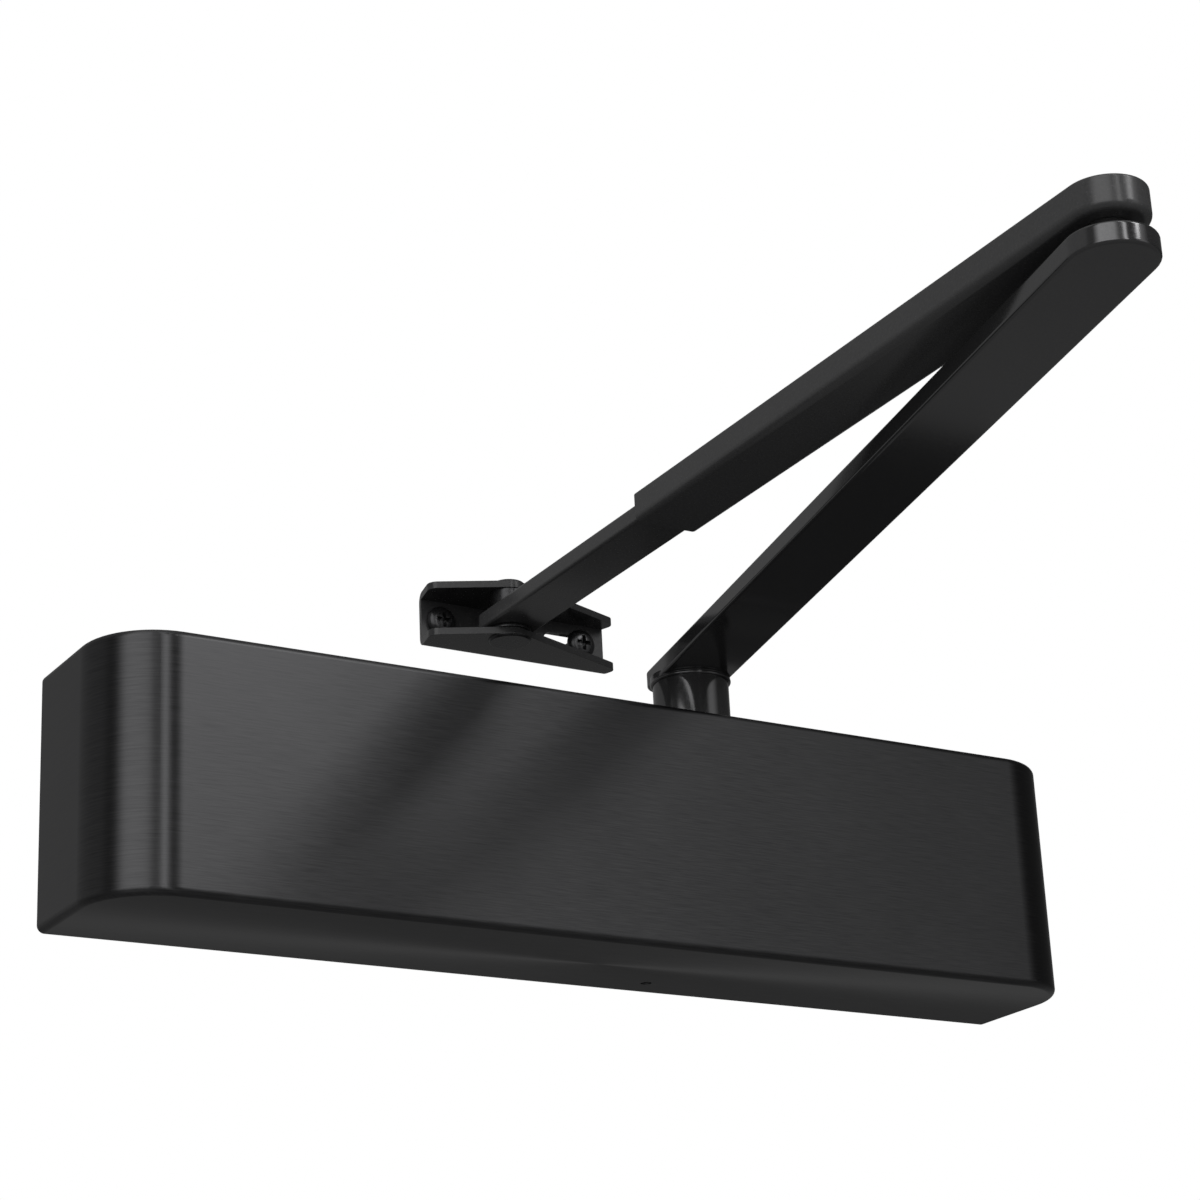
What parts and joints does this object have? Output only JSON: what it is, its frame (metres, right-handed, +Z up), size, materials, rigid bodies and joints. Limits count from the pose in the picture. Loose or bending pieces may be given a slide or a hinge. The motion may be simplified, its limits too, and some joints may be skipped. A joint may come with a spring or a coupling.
{
  "type": "overhead door closer",
  "caption": "Slim box-shaped overhead door closer in satin black with a folding two-piece arm above it and a small wall shoe at the arm's end.",
  "frame": {"origin": "middle of the four door fixing holes, on the door face", "axes": "+X along the closer towards the spindle end, +Z up, +Y into the door; the cover's front faces -Y"},
  "size_m": [0.3, 0.2957, 0.1091],
  "materials": {
    "cover_black": "fine brushed satin black",
    "arm_black": "satin black",
    "blackened_steel": "glossy black",
    "zinc_steel": "bright zinc plate",
    "cast_aluminium": "as cast",
    "bearing_steel": "ground",
    "spring_steel": "oil tempered",
    "rubber": "matt",
    "brass": "turned"
  },
  "bodies": {
    "closer": {"closer_body": "cast_aluminium", "mounting_plate": "zinc_steel", "cover_clips": "spring_steel", "clip_rivets": "zinc_steel", "body_screws": "zinc_steel", "left_end_cap": "zinc_steel", "right_end_cap": "zinc_steel", "end_cap_rings": "rubber", "top_gland": "zinc_steel", "bottom_gland": "zinc_steel", "spindle_bearings": "bearing_steel", "spindle_seals": "rubber", "valve_rings": "rubber"},
    "cover": {"cover": "cover_black", "cover_screw": "blackened_steel"},
    "main_arm": {"spindle": "bearing_steel", "main_arm": "arm_black", "arm_screw": "blackened_steel", "knuckle_pin": "blackened_steel", "knuckle_washer": "arm_black"},
    "piston": {"piston": "bearing_steel", "piston_rings": "rubber", "check_ball": "bearing_steel", "check_valve_plug": "brass"},
    "spring_seat": {"spring_seat": "zinc_steel", "spring": "spring_steel"},
    "power_adjuster": {"power_adjuster": "zinc_steel"},
    "closing_valve": {"closing_valve": "brass"},
    "latching_valve": {"latching_valve": "brass"},
    "backcheck_valve": {"backcheck_valve": "brass"},
    "forearm_sleeve": {"forearm_sleeve": "arm_black", "clamp_bridge": "arm_black"},
    "clamp_screw": {"clamp_screw": "blackened_steel"},
    "forearm_bar": {"forearm_bar": "arm_black"},
    "shoe": {"shoe": "arm_black", "shoe_pin": "blackened_steel", "shoe_washer": "blackened_steel", "shoe_bush": "blackened_steel", "shoe_screws": "blackened_steel"}
  },
  "joints": [
    {"name": "main_arm_swing", "type": "hinge", "parent": "closer", "child": "main_arm", "pos_m": [0.0353, -0.023, 0], "axis": [0, 0, 1], "range_deg": [-15, 165], "stiffness_Nm_per_rad": 4},
    {"name": "piston_slide", "type": "slide", "parent": "closer", "child": "piston", "axis": [1, 0, 0], "range_m": [-0.02306, 0.00211], "deforming": ["spring"]},
    {"name": "power_adjuster_turn", "type": "hinge", "parent": "closer", "child": "power_adjuster", "pos_m": [-0.10314, -0.023, 0], "axis": [1, 0, 0], "range_deg": [-1710, 1710]},
    {"name": "spring_seat_slide", "type": "slide", "parent": "closer", "child": "spring_seat", "axis": [1, 0, 0], "range_m": [-0.0059, 0.0059], "deforming": ["spring"]},
    {"name": "closing_valve_turn", "type": "hinge", "parent": "closer", "child": "closing_valve", "pos_m": [0.09778, -0.035, 0.0235], "axis": [1, 0, 0], "range_deg": [-360, 360]},
    {"name": "latching_valve_turn", "type": "hinge", "parent": "closer", "child": "latching_valve", "pos_m": [0.09778, -0.011, 0.0235], "axis": [1, 0, 0], "range_deg": [-360, 360]},
    {"name": "backcheck_valve_turn", "type": "hinge", "parent": "closer", "child": "backcheck_valve", "pos_m": [0.09778, -0.035, -0.0235], "axis": [1, 0, 0], "range_deg": [-360, 360]},
    {"name": "knuckle_swing", "type": "hinge", "parent": "main_arm", "child": "forearm_sleeve", "pos_m": [-0.0248, -0.27925, 0.06], "axis": [0, 0, 1], "range_deg": [-12, 150]},
    {"name": "clamp_screw_turn", "type": "hinge", "parent": "forearm_sleeve", "child": "clamp_screw", "pos_m": [-0.0215, -0.11498, 0.068], "axis": [0, 0, 1], "range_deg": [0, 360]},
    {"name": "forearm_length_slide", "type": "slide", "parent": "forearm_sleeve", "child": "forearm_bar", "axis": [0.0201, 0.9998, 0], "range_m": [-0.025, 0.035]},
    {"name": "shoe_swing", "type": "hinge", "parent": "forearm_bar", "child": "shoe", "pos_m": [-0.01952, -0.0159, 0.0662], "axis": [0, 0, 1], "range_deg": [-85, 85]},
    {"name": "cover_pull_off", "type": "slide", "parent": "closer", "child": "cover", "axis": [0, -1, 0], "range_m": [0, 0.06]}
  ],
  "couplings": [
    {"joint": "piston_slide", "follows": "main_arm_swing", "m_per_rad": -0.008},
    {"joint": "power_adjuster_turn", "follows": "spring_seat_slide", "rad_per_m": 5026.5}
  ]
}
